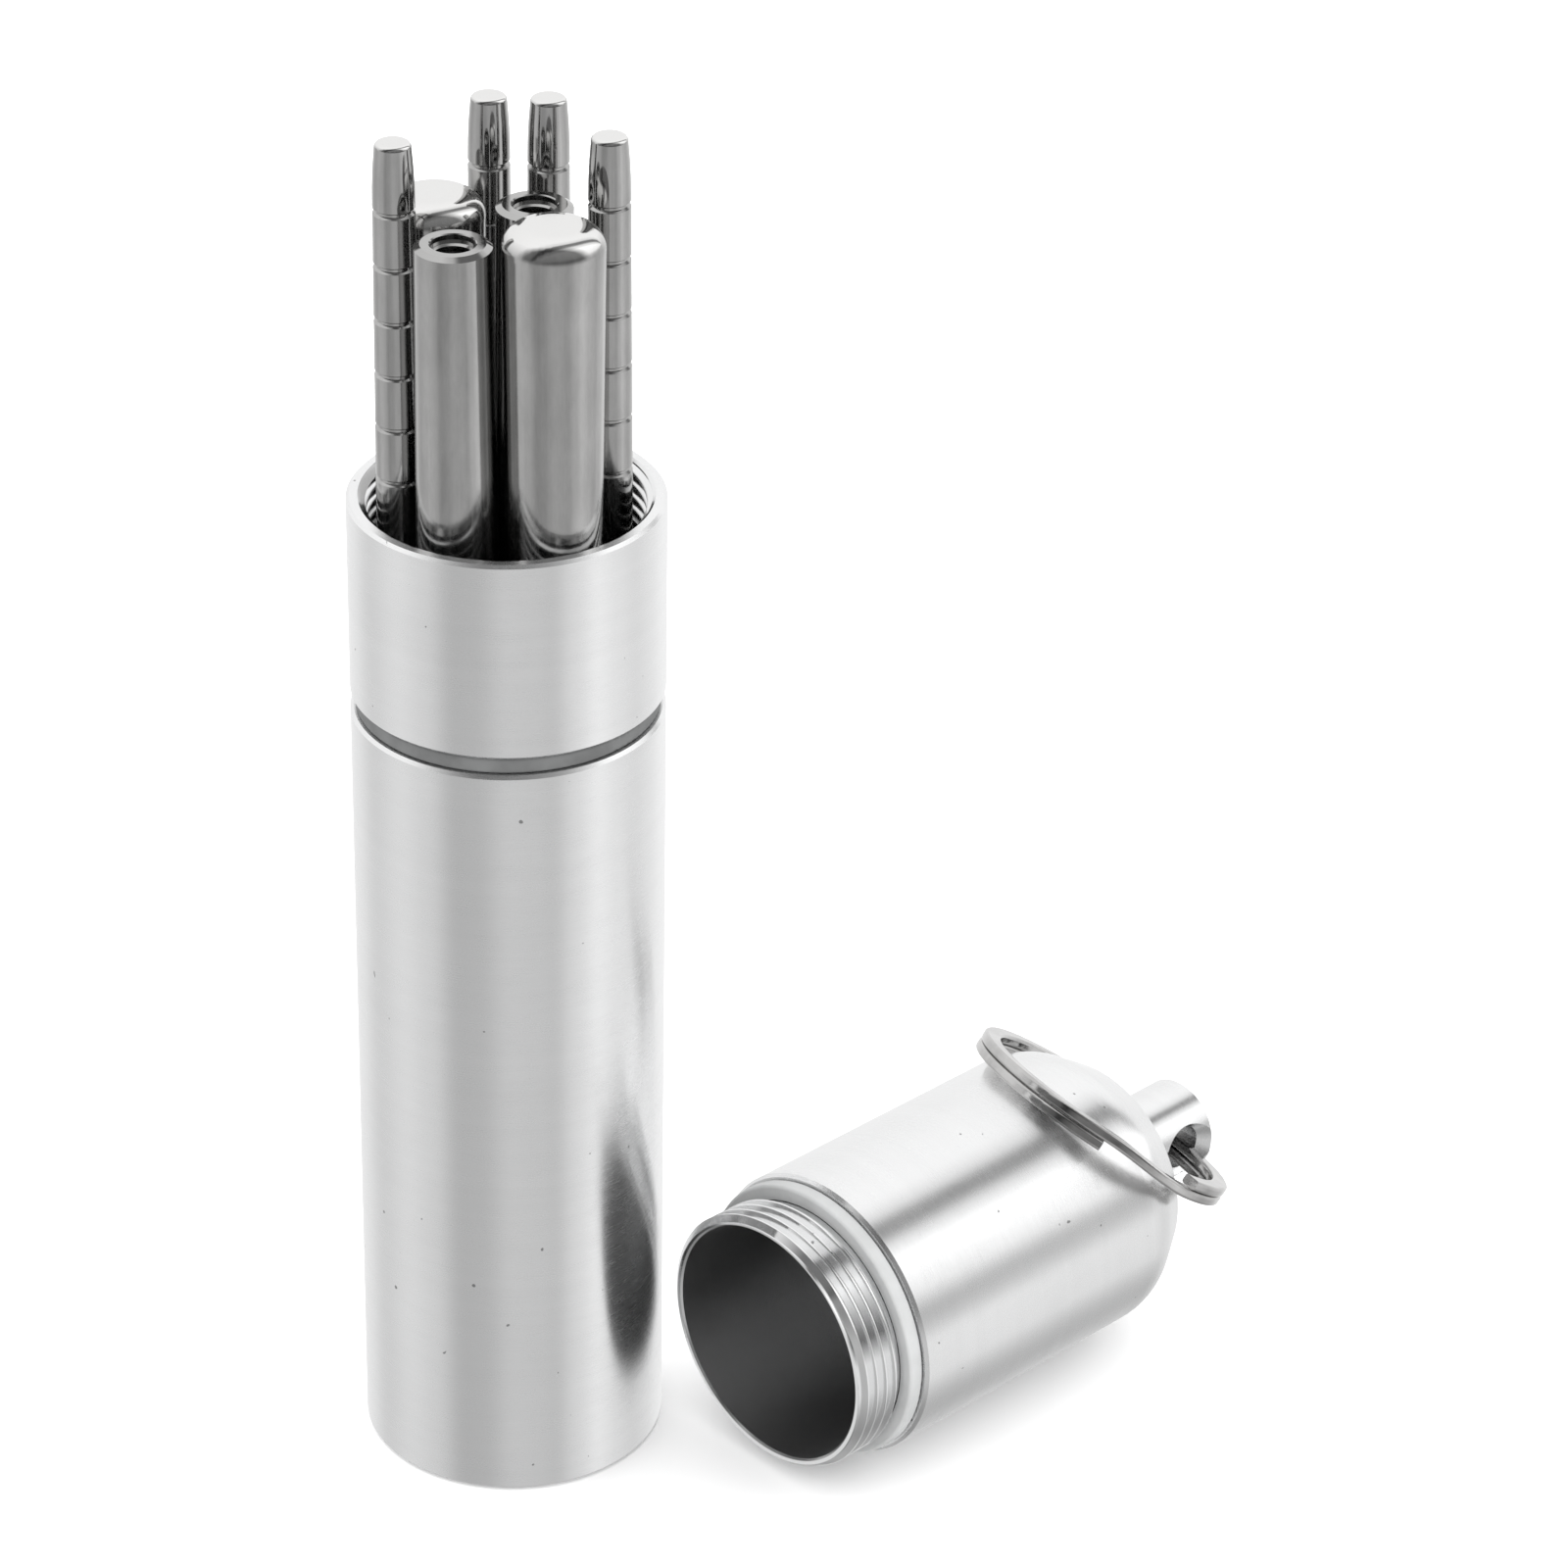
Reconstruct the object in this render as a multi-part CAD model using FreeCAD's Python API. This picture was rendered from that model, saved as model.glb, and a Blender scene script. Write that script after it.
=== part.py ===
"""Keyring capsule for two pairs of take-apart metal chopsticks, shown open.

The capsule is a turned aluminium tube with a screwed-on extension collar and
a screw cap. It stands upright on its closed end with four handle pieces and
four tip pieces in it. The cap lies on its side next to it, with a split ring
through the stud on its closed end.

Millimetres, +Z up. The origin is the centre of the tube's base. The lying
cap's axis runs along +X, from its mouth to its stud.
"""
import FreeCAD
import Part

import math
import os

from FreeCAD import Placement, Rotation, Vector

# ---- capsule ---------------------------------------------------------------
CASE_R = 12.0            # outside of tube, collar and cap
BODY_TOP_Z = 65.6        # top edge of the body tube
GASKET_T = 1.4           # gap that each gasket fills
RIM_Z = 83.2             # top edge of the extension collar
FLOOR_T = 1.6            # closed end of the body tube
BASE_BREAK = 0.4         # chamfer round the base
EDGE_BREAK = 0.25        # chamfer on the other turned edges
GASKET_R = 11.6          # gaskets sit a little below the outside
GASKET_CLEAR = 0.06      # radial clearance on the neck
GASKET_GAP = 0.03        # free play on each face

# ---- case thread, the same on the collar's neck and the cap's neck --------------
CASE_PITCH = 1.0
CREST_R = 10.9           # male crest
ROOT_R = 10.36           # male root
RELIEF = 0.05            # relief grooves are this much deeper than the roots
SEAT_R = ROOT_R - RELIEF # gasket seat
BORE_R = 10.45           # female crest, and bore of tube and collar
GROOVE_R = 11.0          # female root
NECK_BORE_R = 10.0
NECK_L = 4.7             # threaded neck, from its end to the gasket
SOCKET_L = 6.0           # depth of a female thread, relief groove included
CREST_FLAT = 0.12
FLANK = math.tan(math.radians(30.0))
FLANK_CLEAR = 0.095      # axial clearance on each flank

# ---- cap, lying along +X ---------------------------------------------------
CAP_MOUTH = Vector(9.2, -20.0, CASE_R)
CAP_BODY_L = 27.8        # full-diameter length, from the gasket to the shoulder
CAP_SHOULDER_L = 3.8     # coned shoulder, down to the end face
CAP_SHOULDER_ROUND = 5.0 # where the shoulder leaves the body
CAP_FACE_R = 9.5
CAP_DEPTH = 34.4         # bore, from the mouth
STUD_R = 3.9
STUD_L = 10.5
STUD_BREAK = 0.35
HOLE_FROM_END = 2.95     # cross hole, from the stud's free end
HOLE_R = 1.9
HOLE_SINK = 1.1          # depth of its countersinks

# ---- split ring ------------------------------------------------------------
RING_R = 11.15           # to the middle of the wire
WIRE_W = 1.55            # wire, across the ring's radius
WIRE_T = 0.86            # wire, along the ring's axis
WIRE_ROUND = 0.25
COIL_GAP = 0.04
JOG_DEG = 47.0           # arc on which the wire crosses to the other coil
JOG_START_DEG = 212.0    # round the ring from the stud's hole
RING_LEAN = 37.0         # ring's plane above the cap's axis
RING_TILT = 8.0          # about the line from the hole to the ring's centre
RING_TURN = 8.0          # within its own plane
RING_SEAT = 0.3          # wire's middle from the hole's centre

# ---- chopsticks ------------------------------------------------------------
HANDLE_L = 104.0
SOCKET_END_R = 2.87
DOME_END_R = 3.82
DOME_ROUND = 1.8
HANDLE_WALL = 0.55
SOCKET_CHAMFER = (0.45, 0.3)     # radial, axial
BUSH_R = 2.25
BUSH_L = 12.0
BUSH_MOUTH_R = 1.68
TIP_L = 110.0            # tip piece with its screw
TIP_BASE_R = 2.15
TIP_NECK_R = 1.58        # at the first ring groove
TIP_FACE_R = 1.33
TIP_BULGE_R = 1.53       # halfway up the nose
TIP_ROUND = 0.35
SCREW_L = 8.0            # thread that stands out of the tip piece
SCREW_SHANK_R = 1.1
SCREW_SHANK_L = 6.0
STICK_PITCH = 0.6
STICK_CREST_R = 1.72
STICK_ROOT_R = 1.38
STICK_BORE_R = 1.46
STICK_GROOVE_R = 1.80
RING_GROOVES = 6
RING_GROOVE_FIRST = 5.25         # below the tip's end
RING_GROOVE_STEP = 4.28
RING_GROOVE_W = 0.5
RING_GROOVE_D = 0.2

# The bundle stands as it was dropped in: each piece leans a little. The places
# are the middles of a piece's lower and upper ends, in a bundle frame that is
# turned about Z against the cap.
BUNDLE_TURN = -40.8
FLOOR_GAP = 0.08         # under a leaning piece's middle
HANDLES = {              # name: (lower end, upper end, dome up, height off the floor)
    "front_left": ((-3.43, -4.83), (-3.70, -5.00), False, 0.0),
    "front_right": ((3.32, -5.30), (3.51, -5.50), True, 1.6),
    "back_left": ((-5.02, 3.45), (-5.12, 4.14), True, 0.0),
    "back_right": ((1.42, 1.22), (2.22, 1.97), False, 0.0),
}
TIPS = {                 # name: (lower end, upper end)
    "left": ((-8.01, -0.80), (-7.97, -0.63)),
    "right": ((7.84, 1.62), (7.63, 0.42)),
    "back_left": ((-1.55, 7.32), (-1.07, 8.04)),
    "back_right": ((2.90, 7.12), (3.31, 7.61)),
}

Z_AXIS = Vector(0, 0, 1)


def turned(outline):
    """Solid of revolution about Z from a closed outline of (radius, height) points.

    A point with four numbers is reached by an arc through its last two.
    """
    edges = []
    for before, point in zip(outline[-1:] + outline[:-1], outline):
        start, end = Vector(before[0], 0, before[1]), Vector(point[0], 0, point[1])
        if len(point) == 4:
            edges.append(Part.Arc(start, Vector(point[2], 0, point[3]), end).toShape())
        else:
            edges.append(Part.makeLine(start, end))
    face = Part.Face(Part.Wire(edges))
    return face.revolve(Vector(0, 0, 0), Z_AXIS, 360)


def only_solid(shape):
    """The single solid of a boolean result."""
    if len(shape.Solids) != 1 or not shape.isValid():
        raise ValueError(f"expected one valid solid, got {len(shape.Solids)}")
    return shape.Solids[0]


def helical_cutter(profile, pitch, start_z, end_z):
    """Sweep a closed (radius, height) profile up a right-hand helix."""
    radius = profile[0][0]
    helix = Part.makeLongHelix(pitch, end_z - start_z, radius)
    corners = [Vector(r, 0, z) for r, z in profile]
    sweep = Part.BRepOffsetAPI.MakePipeShell(Part.Wire(helix))
    sweep.setBiNormalMode(Z_AXIS)
    sweep.add(Part.makePolygon(corners + corners[:1]))
    sweep.build()
    sweep.makeSolid()
    cutter = Part.Solid(sweep.shape())
    cutter.translate(Vector(0, 0, start_z))
    return cutter


def male_groove(crest, root, pitch, start_z, end_z, crest_flat=CREST_FLAT):
    """Groove between the ridges of a screw; the ridges follow z = angle / 360 * pitch."""
    open_half = (pitch - crest_flat) / 2
    root_half = open_half - (crest - root) * FLANK
    profile = [(root, -root_half), (crest, -open_half), (crest + 0.3, -open_half),
               (crest + 0.3, open_half), (crest, open_half), (root, root_half)]
    return helical_cutter(profile, pitch, start_z + pitch / 2, end_z + pitch / 2)


def female_groove(bore, root, crest, pitch, start_z, end_z, clear, crest_flat=CREST_FLAT):
    """Groove of a nut: a screw's ridge with clearance on its flanks."""
    def half(radius):
        return crest_flat / 2 + (crest - radius) * FLANK + clear
    profile = [(root, -half(root)), (bore, -half(bore)), (bore - 0.3, -half(bore)),
               (bore - 0.3, half(bore)), (bore, half(bore)), (root, half(root))]
    return helical_cutter(profile, pitch, start_z, end_z)


# ---- capsule ---------------------------------------------------------------
def case_socket(rim_z):
    """Cutters for a female case thread that opens upwards at rim_z."""
    relief_z = rim_z - SOCKET_L
    lead = turned([(0, rim_z - 0.6), (BORE_R, rim_z - 0.6),
                   (GROOVE_R + 0.1, rim_z), (GROOVE_R + 0.1, rim_z + 1), (0, rim_z + 1)])
    relief_r = GROOVE_R + RELIEF
    relief = turned([(BORE_R - 1, relief_z), (BORE_R, relief_z), (relief_r, relief_z + 0.3),
                     (relief_r, relief_z + 1.1), (BORE_R, relief_z + 1.4),
                     (BORE_R - 1, relief_z + 1.4)])
    start_z = math.floor(relief_z + 0.5)
    groove = female_groove(BORE_R, GROOVE_R, CREST_R, CASE_PITCH, start_z,
                           start_z + 7 * CASE_PITCH, FLANK_CLEAR)
    return lead, relief, groove


def body_tube():
    """Closed tube that stands on its base, threaded inside its mouth."""
    blank = turned([(0, 0), (CASE_R - BASE_BREAK, 0), (CASE_R, BASE_BREAK),
                    (CASE_R, BODY_TOP_Z - EDGE_BREAK), (CASE_R - EDGE_BREAK, BODY_TOP_Z),
                    (BORE_R, BODY_TOP_Z), (BORE_R, FLOOR_T), (0, FLOOR_T)])
    for cutter in case_socket(BODY_TOP_Z):
        blank = blank.cut(cutter)
    return only_solid(blank)


def neck_outline(end_z, seat_z):
    """Outer outline of a neck from its end up to its gasket seat, ends included."""
    return [(SEAT_R + 0.15, end_z), (CREST_R, end_z + 0.3), (CREST_R, end_z + NECK_L - 0.9),
            (SEAT_R, end_z + NECK_L - 0.5), (SEAT_R, seat_z)]


def neck_thread(end_z):
    """Thread cutter of a neck whose end is at end_z."""
    start_z = math.ceil(end_z) - 2 * CASE_PITCH
    return male_groove(CREST_R, ROOT_R, CASE_PITCH, start_z, end_z + NECK_L)


def extension_collar():
    """Threaded ring that lengthens the tube: neck below, case thread in its mouth."""
    seat_z = BODY_TOP_Z + GASKET_T
    end_z = BODY_TOP_Z - NECK_L
    outline = [(NECK_BORE_R, end_z)] + neck_outline(end_z, seat_z)
    outline += [(CASE_R - EDGE_BREAK, seat_z), (CASE_R, seat_z + EDGE_BREAK),
                (CASE_R, RIM_Z - EDGE_BREAK), (CASE_R - EDGE_BREAK, RIM_Z),
                (BORE_R, RIM_Z), (BORE_R, seat_z + 2.0), (NECK_BORE_R, seat_z + 1.2)]
    blank = turned(outline).cut(neck_thread(end_z))
    for cutter in case_socket(RIM_Z):
        blank = blank.cut(cutter)
    return only_solid(blank)


def gasket(seat_z):
    """Silicone ring under a shoulder at seat_z."""
    low, high = seat_z - GASKET_T + GASKET_GAP, seat_z - GASKET_GAP
    inner = SEAT_R + GASKET_CLEAR
    ring = turned([(inner, low), (GASKET_R, low), (GASKET_R, high), (inner, high)])
    edges = [e for e in ring.Edges if isinstance(e.Curve, Part.Circle) and
             abs(e.Curve.Radius - GASKET_R) < 1e-6]
    return ring.makeFillet(0.3, edges)


def upright_cap():
    """Screw cap standing on its mouth, stud upwards."""
    seat_z = NECK_L + GASKET_T
    shoulder_z = seat_z + CAP_BODY_L
    end_z = shoulder_z + CAP_SHOULDER_L
    top_z = end_z + STUD_L
    outline = [(NECK_BORE_R, 0.15), (NECK_BORE_R + 0.15, 0)] + neck_outline(0, seat_z)
    outline += [(CASE_R - EDGE_BREAK, seat_z), (CASE_R, seat_z + EDGE_BREAK),
                (CASE_R, shoulder_z), (CAP_FACE_R, end_z), (STUD_R, end_z),
                (STUD_R, top_z - STUD_BREAK), (STUD_R - STUD_BREAK, top_z), (0, top_z),
                (0, CAP_DEPTH), (NECK_BORE_R - 0.8, CAP_DEPTH),
                (NECK_BORE_R, CAP_DEPTH - 0.8)]
    blank = turned(outline)
    corner = [e for e in blank.Edges if isinstance(e.Curve, Part.Circle) and
              abs(e.Curve.Radius - CASE_R) < 1e-6 and abs(e.Curve.Center.z - shoulder_z) < 1e-6]
    cap = blank.makeFillet(CAP_SHOULDER_ROUND, corner).cut(neck_thread(0))
    hole_z = top_z - HOLE_FROM_END
    hole = Part.makeCylinder(HOLE_R, 4 * STUD_R, Vector(0, -2 * STUD_R, hole_z), Vector(0, 1, 0))
    cap = cap.cut(hole)
    for side in (-1, 1):
        sink = Part.makeCone(HOLE_R + 2 * HOLE_SINK, HOLE_R, 2 * HOLE_SINK,
                             Vector(0, side * (STUD_R + HOLE_SINK), hole_z),
                             Vector(0, -side, 0))
        cap = cap.cut(sink)
    return only_solid(cap)


def lay_down(shape):
    """Turn an upright cap part onto its side, mouth towards -X."""
    laid = shape.copy()
    laid.Placement = Placement(CAP_MOUTH, Rotation(Vector(0, 1, 0), 90)).multiply(laid.Placement)
    return laid


# ---- split ring ------------------------------------------------------------
def wire_section(centre, outward, along):
    """Rounded rectangle across the ring's wire."""
    half_w, half_t, r = WIRE_W / 2, WIRE_T / 2, WIRE_ROUND
    bulge = r * (1 - math.sqrt(0.5))

    def at(u, v):
        return centre + outward * u + along * v
    edges = []
    for su, sv in ((1, 1), (-1, 1), (-1, -1), (1, -1)):
        ends = [at(su * half_w, sv * (half_t - r)), at(su * (half_w - r), sv * half_t)]
        if su * sv < 0:
            ends.reverse()
        middle = at(su * (half_w - bulge), sv * (half_t - bulge))
        edges.append(Part.Arc(ends[0], middle, ends[1]).toShape())
    corners = []
    for here, following in zip(edges, edges[1:] + edges[:1]):
        corners.append(here)
        corners.append(Part.makeLine(here.lastVertex(True).Point,
                                     following.firstVertex(True).Point))
    return Part.Wire(corners)


def flat_ring():
    """Split ring in the XY plane, centred on the origin: two coils and one crossing."""
    step = (WIRE_T + COIL_GAP) / 2
    sweep_deg = 720.0 - JOG_DEG
    count = 80
    points = []
    for i in range(count + 1):
        angle = JOG_DEG + sweep_deg * i / count
        share = min(max((angle - 360.0) / JOG_DEG, 0.0), 1.0)
        height = step * (1 - 2 * share * share * (3 - 2 * share))
        turn = math.radians(angle + JOG_START_DEG)
        points.append(Vector(RING_R * math.cos(turn), RING_R * math.sin(turn), height))
    path = Part.BSplineCurve()
    path.interpolate(points)
    outward = Vector(points[0].x, points[0].y, 0).normalize()
    sweep = Part.BRepOffsetAPI.MakePipeShell(Part.Wire(path.toShape()))
    sweep.setBiNormalMode(Z_AXIS)
    sweep.add(wire_section(points[0], outward, Z_AXIS))
    sweep.build()
    sweep.makeSolid()
    return Part.Solid(sweep.shape())


def key_ring():
    """Split ring through the stud's hole, lying back on the cap."""
    cap_end = NECK_L + GASKET_T + CAP_BODY_L + CAP_SHOULDER_L + STUD_L
    hole = CAP_MOUTH + Vector(cap_end - HOLE_FROM_END, 0, 0)
    ring = flat_ring()
    ring.translate(Vector(-RING_R + RING_SEAT, 0, 0))
    pose = Rotation(Vector(0, 1, 0), RING_LEAN)
    pose = pose.multiply(Rotation(Vector(1, 0, 0), RING_TILT))
    pose = pose.multiply(Rotation(Z_AXIS, RING_TURN))
    ring.Placement = Placement(hole, pose).multiply(ring.Placement)
    return ring


# ---- chopsticks ------------------------------------------------------------
def handle_tube():
    """Tapered handle, socket end down at z = 0, closed dome up."""
    slope = (DOME_END_R - SOCKET_END_R) / HANDLE_L

    def outer(z):
        return SOCKET_END_R + slope * z
    in_r, in_z = SOCKET_CHAMFER
    outline = [(BUSH_R, 0), (SOCKET_END_R - in_r, 0), (outer(in_z), in_z),
               (DOME_END_R, HANDLE_L), (0, HANDLE_L), (0, HANDLE_L - 1.2),
               (outer(HANDLE_L - 3.2) - HANDLE_WALL - 1.0, HANDLE_L - 1.2),
               (outer(HANDLE_L - 3.2) - HANDLE_WALL, HANDLE_L - 3.2),
               (outer(BUSH_L + 1) - HANDLE_WALL, BUSH_L + 1), (BUSH_R, BUSH_L)]
    tube = turned(outline)
    rim = [e for e in tube.Edges if isinstance(e.Curve, Part.Circle) and
           abs(e.Curve.Radius - DOME_END_R) < 1e-6]
    return tube.makeFillet(DOME_ROUND, rim)


def thread_teeth(crest, root, start_z, end_z):
    """Zigzag (radius, height) outline of a small thread, drawn as parallel teeth."""
    outline = []
    for k in range(round((end_z - start_z) / STICK_PITCH)):
        z = start_z + k * STICK_PITCH
        outline += [(root, z + 0.1 * STICK_PITCH), (crest, z + 0.45 * STICK_PITCH),
                    (crest, z + 0.55 * STICK_PITCH), (root, z + 0.9 * STICK_PITCH)]
    return outline


def socket_bush():
    """Threaded bush pressed into the handle's socket end, at z = 0."""
    teeth = thread_teeth(STICK_BORE_R, STICK_GROOVE_R, 0.6, BUSH_L - 0.6)
    teeth.reverse()
    return turned([(BUSH_MOUTH_R, 0.45), (BUSH_MOUTH_R, 0.08), (BUSH_MOUTH_R + 0.08, 0),
                   (BUSH_R, 0), (BUSH_R, BUSH_L), (BUSH_MOUTH_R, BUSH_L)] + teeth)


def tip_rod():
    """Tapered tip piece with ring grooves; its shoulder is at z = SCREW_L."""
    first_z = TIP_L - RING_GROOVE_FIRST
    slope = (TIP_NECK_R - TIP_BASE_R) / (first_z - SCREW_L)

    def radius(z):
        return TIP_BASE_R + slope * (z - SCREW_L)
    outline = [(SCREW_SHANK_R, SCREW_L), (TIP_BASE_R - 0.15, SCREW_L), (TIP_BASE_R, SCREW_L + 0.15)]
    half = RING_GROOVE_W / 2
    for k in reversed(range(RING_GROOVES)):
        z = first_z - k * RING_GROOVE_STEP
        outline += [(radius(z), z - half), (radius(z) - RING_GROOVE_D, z - half / 3),
                    (radius(z) - RING_GROOVE_D, z + half / 3), (radius(z), z + half)]
    outline += [(TIP_FACE_R, TIP_L, TIP_BULGE_R, TIP_L - RING_GROOVE_FIRST / 2), (0, TIP_L), (0, SCREW_L + SCREW_SHANK_L),
                (SCREW_SHANK_R, SCREW_L + SCREW_SHANK_L)]
    rod = turned(outline)
    rim = [e for e in rod.Edges if isinstance(e.Curve, Part.Circle) and
           abs(e.Curve.Radius - TIP_FACE_R) < 1e-6]
    return rod.makeFillet(TIP_ROUND, rim)


def joint_screw():
    """Screw of a tip piece: thread below its shoulder, plain shank pressed in above."""
    teeth = thread_teeth(STICK_CREST_R, STICK_ROOT_R, 0.4, SCREW_L - 0.7)
    return turned([(0, 0), (STICK_ROOT_R - 0.2, 0), (STICK_ROOT_R, 0.25)] + teeth +
                  [(STICK_ROOT_R, SCREW_L), (SCREW_SHANK_R, SCREW_L),
                   (SCREW_SHANK_R, SCREW_L + SCREW_SHANK_L), (0, SCREW_L + SCREW_SHANK_L)])


def stand(shape, length, lower, upper, lift=0.0, flip=False):
    """Place an upright piece in the tube between its lower and upper end points."""
    floor_z = FLOOR_T + FLOOR_GAP + lift
    foot = Vector(lower[0], lower[1], floor_z)
    lean = Rotation(Z_AXIS, Vector(upper[0] - lower[0], upper[1] - lower[1], length))
    pose = Placement(foot, lean)
    if flip:
        pose = pose.multiply(Placement(Vector(0, 0, length), Rotation(Vector(1, 0, 0), 180)))
    stood = shape.copy()
    bundle = Placement(Vector(0, 0, 0), Rotation(Z_AXIS, BUNDLE_TURN))
    stood.Placement = bundle.multiply(pose).multiply(stood.Placement)
    return stood


def parts():
    """Every node by name."""
    nodes = {
        "body_tube": body_tube(),
        "extension_collar": extension_collar(),
        "collar_gasket": gasket(BODY_TOP_Z + GASKET_T),
        "screw_cap": lay_down(upright_cap()),
        "cap_gasket": lay_down(gasket(NECK_L + GASKET_T)),
        "key_ring": key_ring(),
    }
    tube, bush = handle_tube(), socket_bush()
    for name, (lower, upper, dome_up, lift) in HANDLES.items():
        for kind, piece in (("handle", tube), ("socket_bush", bush)):
            nodes[f"{kind}_{name}"] = stand(piece, HANDLE_L, lower, upper, lift, not dome_up)
    rod, screw = tip_rod(), joint_screw()
    for name, (lower, upper) in TIPS.items():
        for kind, piece in (("tip_rod", rod), ("joint_screw", screw)):
            nodes[f"{kind}_{name}"] = stand(piece, TIP_L, lower, upper)
    return nodes


os.makedirs("parts", exist_ok=True)
for node, solid in parts().items():
    if not solid.isValid():
        raise ValueError(f"{node} is not a valid solid")
    solid.exportStep(f"parts/{node}.step")
    print(f"{node}: {solid.Volume:.1f} mm3")
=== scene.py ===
"""Keyring capsule for take-apart metal chopsticks, on a pale studio floor."""
import math

import bpy
from mathutils import Matrix, Vector


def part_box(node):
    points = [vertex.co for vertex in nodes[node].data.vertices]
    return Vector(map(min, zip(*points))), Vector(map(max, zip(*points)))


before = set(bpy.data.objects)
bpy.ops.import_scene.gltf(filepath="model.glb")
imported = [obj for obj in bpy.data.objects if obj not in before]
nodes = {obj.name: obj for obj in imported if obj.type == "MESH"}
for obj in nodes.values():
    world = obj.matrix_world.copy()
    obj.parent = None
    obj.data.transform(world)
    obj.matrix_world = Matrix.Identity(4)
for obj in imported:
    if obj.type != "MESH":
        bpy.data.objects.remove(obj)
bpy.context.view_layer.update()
scene = bpy.context.scene

CAP_AXIS_Y = sum(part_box("screw_cap")[i][1] for i in (0, 1)) / 2
CAP_AXIS_Z = sum(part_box("screw_cap")[i][2] for i in (0, 1)) / 2
CAP_BORE_END_X = 0.0445    # between the cap's bore and its stud
CAP_BORE_R = 0.01015       # what lies nearer the cap's axis than this is its bore
CAP_THREAD_R = 0.01097     # and nearer than this, its thread
CASE_BORE_R = 0.01049      # the same two radii for the tube and the collar
CASE_THREAD_R = 0.01115
FINISH_EDGE = 0.00005      # width over which one finish gives way to the next
FOOT_Z = 0.0035            # lower ends of the standing pieces are below this
HANDLE_END_Z = 0.1030      # upper ends of the handles are above this
TIP_END_Z = 0.1105         # and those of the tip rods above this
TIP_NOSE_Z = 0.1065        # start of the tip rods' smoother noses
NO_NOSE_Z = 1.0            # above every piece
RELIEF = 0.00001           # depth of the marks that tools leave on metal
PHOTO_PLACE = (-0.24335, -0.28192, 0.27117)
PHOTO_HEADING, PHOTO_DOWN, PHOTO_ROLL = 44.04, 29.75, 1.11    # degrees
PHOTO_LENS = 128.4         # mm, on a 36 mm wide sensor


# ---- camera ----------------------------------------------------------------
def look_from(place, heading_deg, down_deg, roll_deg, lens):
    """Camera at place; its heading is counted from +Y towards +X."""
    h, d, r = (math.radians(v) for v in (heading_deg, down_deg, roll_deg))
    ahead = Vector((math.sin(h) * math.cos(d), math.cos(h) * math.cos(d), -math.sin(d)))
    right = Vector((math.cos(h), -math.sin(h), 0.0))
    up = right.cross(ahead)
    right_r = math.cos(r) * right + math.sin(r) * up
    up_r = -math.sin(r) * right + math.cos(r) * up
    data = bpy.data.cameras.new("photo_view")
    data.sensor_width = 36.0
    data.lens = lens
    data.clip_start = 0.01
    data.clip_end = 50.0
    cam = bpy.data.objects.new("photo_view", data)
    pose = Matrix((right_r, up_r, -ahead)).transposed().to_4x4()
    pose.translation = Vector(place)
    cam.matrix_world = pose
    scene.collection.objects.link(cam)
    scene.camera = cam


look_from(PHOTO_PLACE, PHOTO_HEADING, PHOTO_DOWN, PHOTO_ROLL, PHOTO_LENS)


# ---- node helpers ----------------------------------------------------------
class Nodes:
    """Short names for building a node tree."""

    def __init__(self, tree):
        self.tree = tree

    def add(self, kind, **settings):
        node = self.tree.nodes.new(kind)
        inputs = settings.pop("inputs", {})
        for key, value in settings.items():
            setattr(node, key, value)
        for key, value in inputs.items():
            if isinstance(value, bpy.types.NodeSocket):
                self.tree.links.new(value, node.inputs[key])
            else:
                node.inputs[key].default_value = value
        return node

    def math(self, operation, a, b=0.0):
        return self.add("ShaderNodeMath", operation=operation, inputs={0: a, 1: b}).outputs[0]

    def spread(self, value, low, high, to_low, to_high):
        return self.add("ShaderNodeMapRange", inputs={
            "Value": value, "From Min": low, "From Max": high,
            "To Min": to_low, "To Max": to_high}).outputs["Result"]

    def noise(self, vector, scale, detail=2.0, rough=0.5):
        return self.add("ShaderNodeTexNoise", inputs={
            "Vector": vector, "Scale": scale, "Detail": detail,
            "Roughness": rough}).outputs["Fac"]

    def stretched(self, vector, scale):
        return self.add("ShaderNodeVectorMath", operation="MULTIPLY",
                        inputs={0: vector, 1: scale}).outputs[0]

    def ramp(self, value, stops):
        """Smooth blend through stops, each (place, grey) or (place, (red, green, blue))."""
        node = self.add("ShaderNodeValToRGB", inputs={"Fac": value})
        blend = node.color_ramp
        blend.interpolation = "EASE"
        while len(blend.elements) < len(stops):
            blend.elements.new(0.5)
        for element, (place, shade) in zip(blend.elements, stops):
            red_green_blue = shade if isinstance(shade, tuple) else (shade, shade, shade)
            element.position = place
            element.color = (*red_green_blue, 1.0)
        return node.outputs["Color"]


def new_material(name):
    """Empty material with one shader: returns it, its node helper and the shader."""
    mat = bpy.data.materials.new(name)
    mat.use_nodes = True
    mat.node_tree.nodes.clear()
    n = Nodes(mat.node_tree)
    shader = n.add("ShaderNodeBsdfPrincipled")
    out = n.add("ShaderNodeOutputMaterial")
    mat.node_tree.links.new(shader.outputs[0], out.inputs["Surface"])
    return mat, n, shader


def link(n, value, shader, socket):
    n.tree.links.new(value, shader.inputs[socket])


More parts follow.
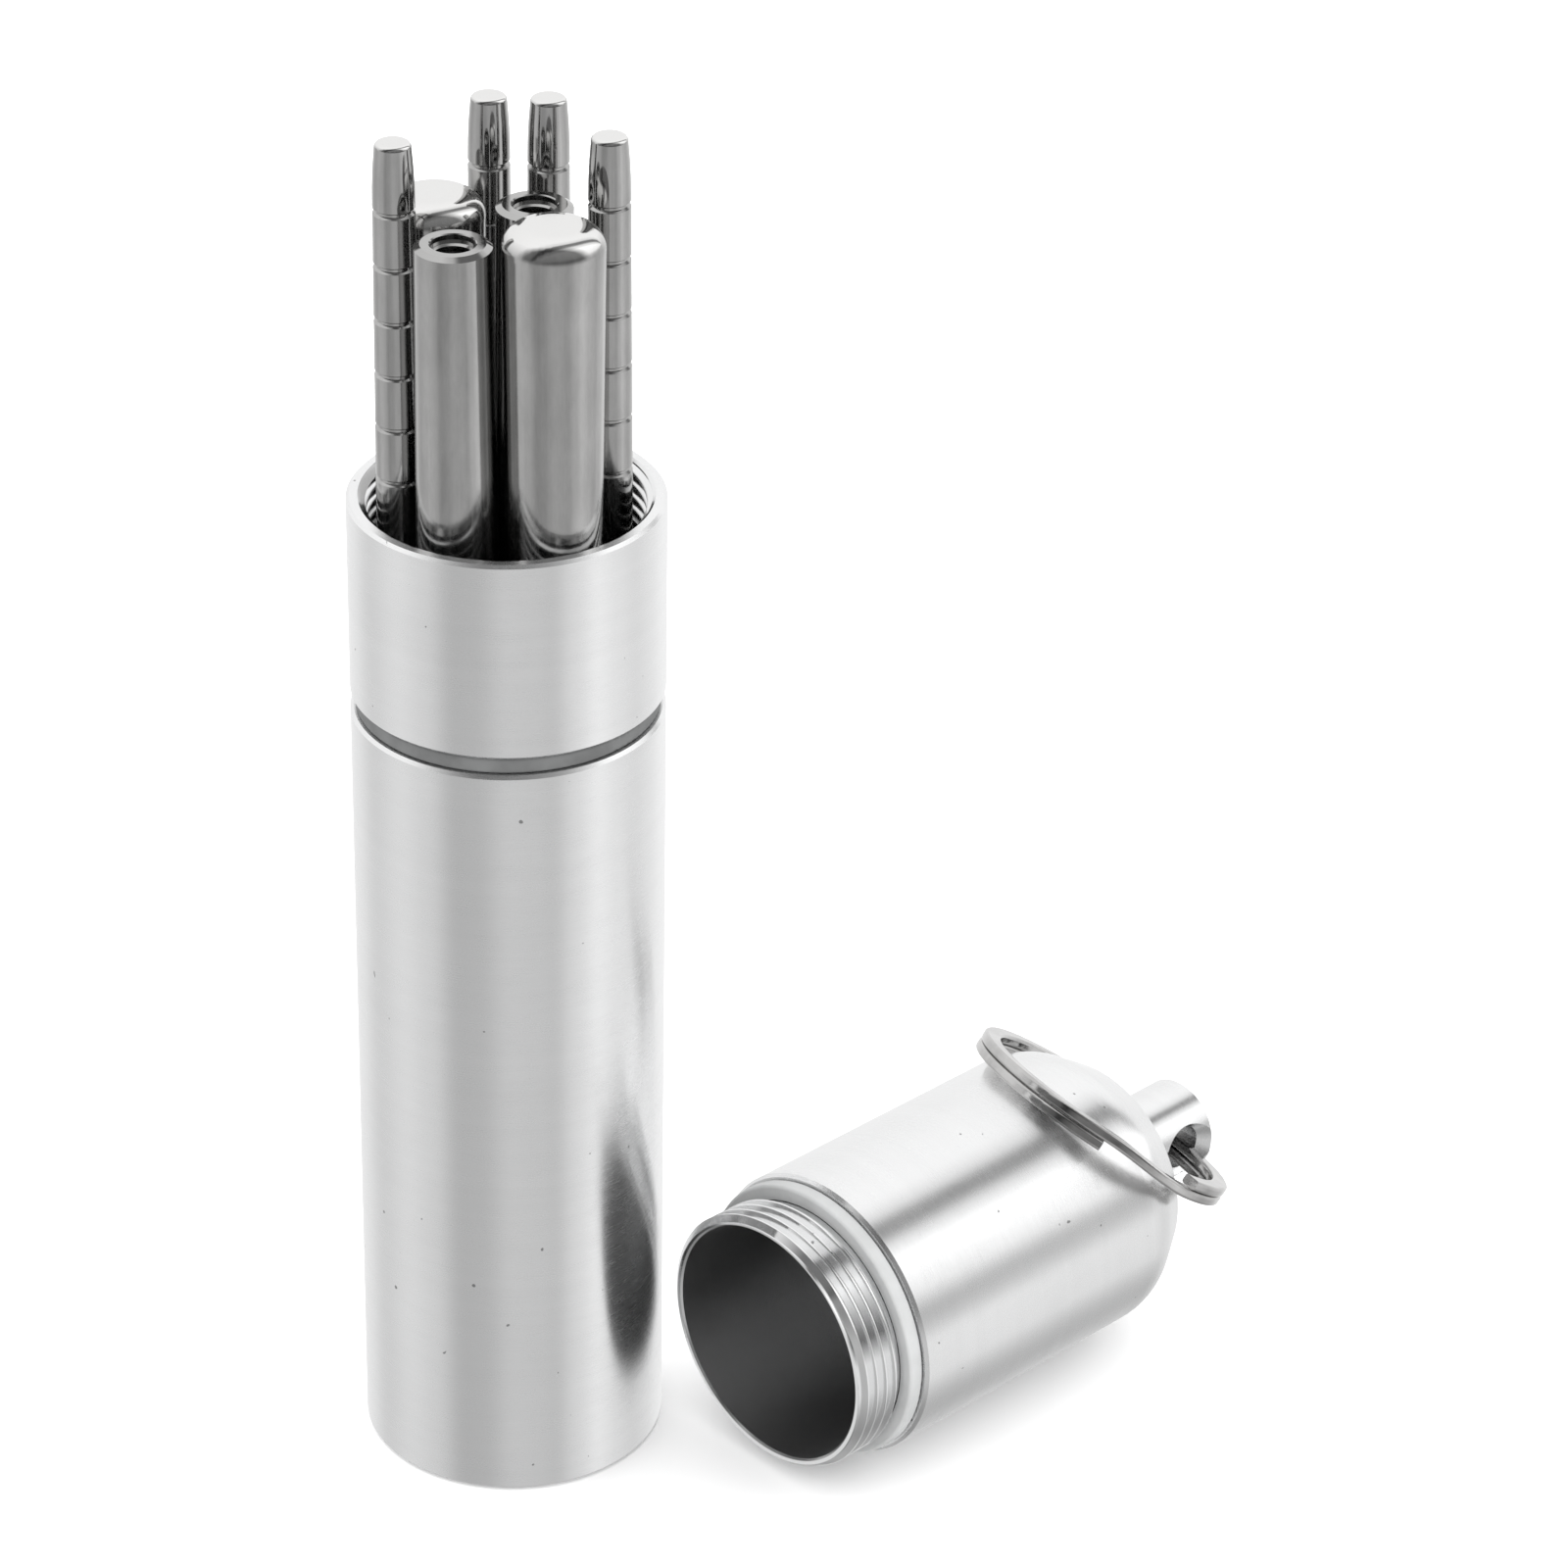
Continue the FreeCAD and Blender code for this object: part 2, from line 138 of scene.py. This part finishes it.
# ---- materials -------------------------------------------------------------
def turned_aluminium(name, axis):
    """Clear-anodised aluminium with turning lines round the given axis."""
    mat, n, shader = new_material(name)
    shader.inputs["Metallic"].default_value = 1.0
    shader.inputs["Anisotropic"].default_value = 0.75
    shader.inputs["Anisotropic Rotation"].default_value = 0.25
    place = n.add("ShaderNodeTexCoord").outputs["Object"]
    along = (1.0, 0.02, 0.02) if axis == "X" else (0.02, 0.02, 1.0)
    lines = n.noise(n.stretched(place, along), 14000.0, 3.0, 0.7)
    wide = n.noise(n.stretched(place, along), 900.0, 2.0, 0.5)
    cloud = n.noise(place, 90.0, 3.0, 0.6)
    smudge = n.noise(n.stretched(place, (1.0, 1.0, 1.6)), 420.0, 4.0, 0.75)
    pits = n.noise(place, 1400.0, 0.0, 0.5)

    # distance from the axis tells the bore and the threads from the outside
    x, y, z = n.add("ShaderNodeSeparateXYZ", inputs={"Vector": place}).outputs
    if axis == "X":
        u, v = n.math("SUBTRACT", y, CAP_AXIS_Y), n.math("SUBTRACT", z, CAP_AXIS_Z)
        before_end = n.math("LESS_THAN", x, CAP_BORE_END_X)
        bore_r, thread_r = CAP_BORE_R, CAP_THREAD_R
    else:
        u, v = x, y
        before_end = 1.0
        bore_r, thread_r = CASE_BORE_R, CASE_THREAD_R
    radius = n.math("SQRT", n.math("ADD", n.math("MULTIPLY", u, u), n.math("MULTIPLY", v, v)))
    bored = n.math("MULTIPLY", n.spread(radius, bore_r, bore_r + FINISH_EDGE, 1.0, 0.0),
                   before_end)
    near = n.math("MULTIPLY", n.spread(radius, thread_r, thread_r + FINISH_EDGE, 1.0, 0.0),
                  before_end)
    thread = n.math("SUBTRACT", near, bored)
    outside = n.math("SUBTRACT", 1.0, near)

    tone = n.math("ADD", n.spread(wide, 0.3, 0.7, 0.895, 0.915),
                  n.spread(cloud, 0.3, 0.7, -0.012, 0.012))
    tone = n.math("MULTIPLY", tone, n.spread(pits, 0.868, 0.882, 1.0, 0.4))
    # painted shade: the bore's colour is darkened to 0.80, standing in for the shade inside the
    # recess
    tone = n.math("MULTIPLY", tone, n.spread(bored, 0.0, 1.0, 1.0, 0.80))
    colour = n.add("ShaderNodeCombineColor", inputs={
        "Red": n.math("MULTIPLY", tone, 0.997), "Green": tone,
        "Blue": n.math("MULTIPLY", tone, 1.003)}).outputs[0]
    link(n, colour, shader, "Base Color")
    uneven = n.math("ADD", n.spread(lines, 0.25, 0.75, -0.03, 0.03),
                    n.spread(smudge, 0.35, 0.7, -0.01, 0.03))
    rough = n.math("ADD", n.math("MULTIPLY", uneven, outside), 0.25)
    rough = n.math("ADD", rough, n.math("MULTIPLY", thread, -0.13))
    rough = n.math("ADD", rough, n.math("MULTIPLY", bored, 0.02))
    link(n, rough, shader, "Roughness")
    bump = n.add("ShaderNodeBump", inputs={
        "Strength": n.spread(outside, 0.0, 1.0, 0.002, 0.012), "Distance": RELIEF,
        "Height": lines})
    link(n, bump.outputs[0], shader, "Normal")
    tangent = n.add("ShaderNodeTangent", direction_type="RADIAL", axis=axis)
    link(n, tangent.outputs[0], shader, "Tangent")
    return mat


def silicone(name, dark, light):
    """Matte grey moulded silicone with a faint bloom."""
    mat, n, shader = new_material(name)
    place = n.add("ShaderNodeTexCoord").outputs["Object"]
    bloom = n.noise(place, 260.0, 3.0, 0.6)
    grain = n.noise(place, 9000.0, 2.0, 0.6)
    link(n, n.ramp(bloom, [(0.3, dark), (0.7, light)]), shader, "Base Color")
    link(n, n.spread(bloom, 0.3, 0.7, 0.48, 0.60), shader, "Roughness")
    bump = n.add("ShaderNodeBump", inputs={"Strength": 0.3, "Distance": 2 * RELIEF,
                                           "Height": grain})
    link(n, bump.outputs[0], shader, "Normal")
    shader.inputs["Specular IOR Level"].default_value = 0.4
    return mat


def drawn_steel(name, side=0.46, end=0.86, rough=(0.09, 0.18), end_z=HANDLE_END_Z,
                nose_z=NO_NOSE_Z):
    """Stainless steel: streaks along the sides, smoother ends; side and end are tones, and the
    lighter end tone is a painted highlight on the flat ends.
    """
    mat, n, shader = new_material(name)
    shader.inputs["Metallic"].default_value = 1.0
    place = n.add("ShaderNodeTexCoord").outputs["Object"]
    streaks = n.noise(n.stretched(place, (1.0, 1.0, 0.03)), 2600.0, 3.0, 0.7)
    cloud = n.noise(n.stretched(place, (1.0, 1.0, 0.35)), 420.0, 4.0, 0.7)
    height = n.add("ShaderNodeSeparateXYZ", inputs={"Vector": place}).outputs[2]
    facing = n.add("ShaderNodeNewGeometry").outputs["Normal"]
    up = n.math("ABSOLUTE", n.add("ShaderNodeSeparateXYZ", inputs={"Vector": facing}).outputs[2])
    ends = n.math("ADD", n.math("GREATER_THAN", height, end_z),
                  n.math("LESS_THAN", height, FOOT_Z))
    polished_and_lit = n.math("MULTIPLY", n.spread(up, 0.25, 0.75, 0.0, 1.0), ends)
    nose = n.math("GREATER_THAN", height, nose_z)
    drawn = n.math("SUBTRACT", 1.0, polished_and_lit)
    # painted highlight: the flat ends take the lighter end tone; their smoother polish is only in
    # the roughness below
    tone = n.math("ADD", n.spread(polished_and_lit, 0.0, 1.0, side, end),
                  n.math("MULTIPLY", drawn, n.spread(cloud, 0.3, 0.7, -0.05, 0.05)))
    tone = n.math("ADD", tone, n.math("MULTIPLY", drawn, n.spread(streaks, 0.3, 0.7, -0.02, 0.02)))
    colour = n.add("ShaderNodeCombineColor", inputs={
        "Red": n.math("MULTIPLY", tone, 1.005), "Green": tone,
        "Blue": n.math("MULTIPLY", tone, 0.99)}).outputs[0]
    link(n, colour, shader, "Base Color")
    uneven = n.math("ADD", n.spread(streaks, 0.3, 0.7, *rough),
                    n.spread(cloud, 0.3, 0.7, -0.02, 0.05))
    uneven = n.math("MULTIPLY", uneven, n.spread(polished_and_lit, 0.0, 1.0, 1.0, 0.5))
    uneven = n.math("MULTIPLY", uneven, n.spread(nose, 0.0, 1.0, 1.0, 0.5))
    link(n, uneven, shader, "Roughness")
    bump = n.add("ShaderNodeBump", inputs={
        "Strength": n.spread(drawn, 0.0, 1.0, 0.01, 0.12), "Distance": RELIEF,
        "Height": streaks})
    link(n, bump.outputs[0], shader, "Normal")
    return mat


def nickel(name):
    """Polished nickel plate with short fine scratches."""
    mat, n, shader = new_material(name)
    shader.inputs["Metallic"].default_value = 1.0
    place = n.add("ShaderNodeTexCoord").outputs["Object"]
    cloud = n.noise(place, 300.0, 3.0, 0.6)
    scratch = n.noise(n.stretched(place, (1.0, 0.3, 0.6)), 5000.0, 2.0, 0.6)
    link(n, n.ramp(cloud, [(0.3, (0.50, 0.495, 0.49)), (0.7, (0.62, 0.615, 0.61))]),
         shader, "Base Color")
    link(n, n.spread(scratch, 0.3, 0.75, 0.06, 0.16), shader, "Roughness")
    bump = n.add("ShaderNodeBump", inputs={"Strength": 0.1, "Distance": RELIEF,
                                           "Height": scratch})
    link(n, bump.outputs[0], shader, "Normal")
    return mat


def paint(mat, *names):
    """Give every named CAD piece the material."""
    for name in names:
        slots = nodes[name].material_slots
        for slot in slots:
            slot.material = mat
        if not slots:
            nodes[name].data.materials.append(mat)


upright = turned_aluminium("anodised_upright", "Z")
lying = turned_aluminium("anodised_lying", "X")
paint(upright, "body_tube", "extension_collar")
paint(lying, "screw_cap")
# the gaskets are one pale silicone; the collar gasket's far darker copy is painted shade for the
# recessed gap it sits in
grey = silicone("grey_silicone", dark=(0.095, 0.097, 0.097), light=(0.13, 0.133, 0.133))
pale = silicone("pale_silicone", dark=(0.38, 0.385, 0.385), light=(0.43, 0.435, 0.435))
paint(grey, "collar_gasket")
paint(pale, "cap_gasket")
domed = drawn_steel("steel_domed")
socketed = drawn_steel("steel_socketed", end=0.50)
pointed = drawn_steel("steel_pointed", end_z=TIP_END_Z, nose_z=TIP_NOSE_Z)
threaded = drawn_steel("steel_threaded", side=0.34, end=0.50, rough=(0.14, 0.26))
DOME_UP = ("handle_front_right", "handle_back_left")
for name in nodes:
    if name.startswith("handle_"):
        paint(domed if name in DOME_UP else socketed, name)
    if name.startswith("tip_rod_"):
        paint(pointed, name)
    if name.startswith(("socket_bush_", "joint_screw_")):
        paint(threaded, name)
paint(nickel("nickel_plate"), "key_ring")


# ---- floor and light -------------------------------------------------------
FLOOR_HALF = 6.0
FLOOR_DROP = 0.00002     # keeps the floor clear of the faces that stand on it
EVEN_STRENGTH = 2.0      # the tent's light on everything but reflections
BANDS_FROM_DEG = -130.8  # heading of the camera's side, in the XY plane
WALLS = [                # (degrees to the right of the camera's side, brightness)
    (-180, 0.95), (-144, 0.84), (-116, 0.66), (-85, 0.78), (-62, 0.70), (-40, 0.48),
    (-25, 0.50), (0, 0.64), (20, 0.62), (32, 0.58), (50, 0.78), (68, 0.97), (85, 0.84),
    (105, 0.74), (125, 0.82), (145, 0.94), (180, 0.95)]
ROOF = [                 # (degrees from straight up towards -Y, brightness)
    (-180, 0.8), (-90, 0.92), (-14, 1.0), (0, 0.80), (7, 0.20), (14, 0.22), (26, 0.9),
    (38, 1.35), (66, 1.35), (84, 0.80), (98, 0.54), (125, 0.68), (180, 0.6)]


def floor():
    """Wide pale floor under the object."""
    mesh = bpy.data.meshes.new("studio_floor")
    half = FLOOR_HALF
    mesh.from_pydata([(-half, -half, 0), (half, -half, 0), (half, half, 0), (-half, half, 0)],
                     [], [(0, 1, 2, 3)])
    plane = bpy.data.objects.new("studio_floor", mesh)
    plane.location.z = -FLOOR_DROP
    scene.collection.objects.link(plane)
    mat, n, shader = new_material("studio_floor")
    shader.inputs["Base Color"].default_value = (0.93, 0.93, 0.93, 1.0)
    shader.inputs["Roughness"].default_value = 0.9
    shader.inputs["Specular IOR Level"].default_value = 0.0
    mesh.materials.append(mat)
    plane.visible_glossy = False


def steps(bands):
    """Stops for a ramp over a full turn, from bands given in degrees."""
    return [((degrees + 180.0) / 360.0, brightness) for degrees, brightness in bands]


def studio_light():
    """White tent: even where it lights the floor, in soft broad bands where it is reflected."""
    world = bpy.data.worlds.new("studio")
    world.use_nodes = True
    world.node_tree.nodes.clear()
    n = Nodes(world.node_tree)
    way = n.add("ShaderNodeTexCoord").outputs["Generated"]
    x, y, z = n.add("ShaderNodeSeparateXYZ", inputs={"Vector": way}).outputs
    # walls: heading of a direction, counted anticlockwise from the camera's side
    turn = math.radians(BANDS_FROM_DEG)
    east = n.math("ADD", n.math("MULTIPLY", x, math.cos(turn)),
                  n.math("MULTIPLY", y, math.sin(turn)))
    north = n.math("SUBTRACT", n.math("MULTIPLY", y, math.cos(turn)),
                   n.math("MULTIPLY", x, math.sin(turn)))
    heading = n.spread(n.math("ARCTAN2", north, east), -math.pi, math.pi, 0.0, 1.0)
    walls = n.ramp(heading, steps(WALLS))
    # roof: light strips along X, by the angle from straight up towards -Y
    across = n.math("ARCTAN2", n.math("MULTIPLY", y, -1.0), z)
    across = n.spread(across, -math.pi, math.pi, 0.0, 1.0)
    roof = n.ramp(across, steps(ROOF))
    # the roof is dim on the camera's side
    dim = n.spread(east, 0.08, 0.40, 1.0, 0.16)
    dim = n.add("ShaderNodeCombineColor", inputs={"Red": dim, "Green": dim, "Blue": dim})
    roof = n.add("ShaderNodeMix", data_type="RGBA", blend_type="MULTIPLY", inputs={
        0: 1.0, 6: roof, 7: dim.outputs[0]}).outputs[2]
    bands = n.add("ShaderNodeMix", data_type="RGBA", inputs={
        0: n.spread(z, -0.2, 0.12, 0.0, 1.0), 6: walls, 7: roof}).outputs[2]
    strength = n.spread(z, -0.85, -0.6, 0.55, 1.0)    # dimmer straight below
    path = n.add("ShaderNodeLightPath").outputs
    shine = n.add("ShaderNodeBackground", inputs={"Color": bands, "Strength": strength})
    even = n.add("ShaderNodeBackground", inputs={"Color": (1, 1, 1, 1),
                                                 "Strength": EVEN_STRENGTH})
    mix = n.add("ShaderNodeMixShader", inputs={0: path["Is Glossy Ray"], 1: even.outputs[0],
                                               2: shine.outputs[0]})
    out = n.add("ShaderNodeOutputWorld")
    n.tree.links.new(mix.outputs[0], out.inputs["Surface"])
    scene.world = world


floor()
studio_light()
scene.view_settings.view_transform = "Standard"
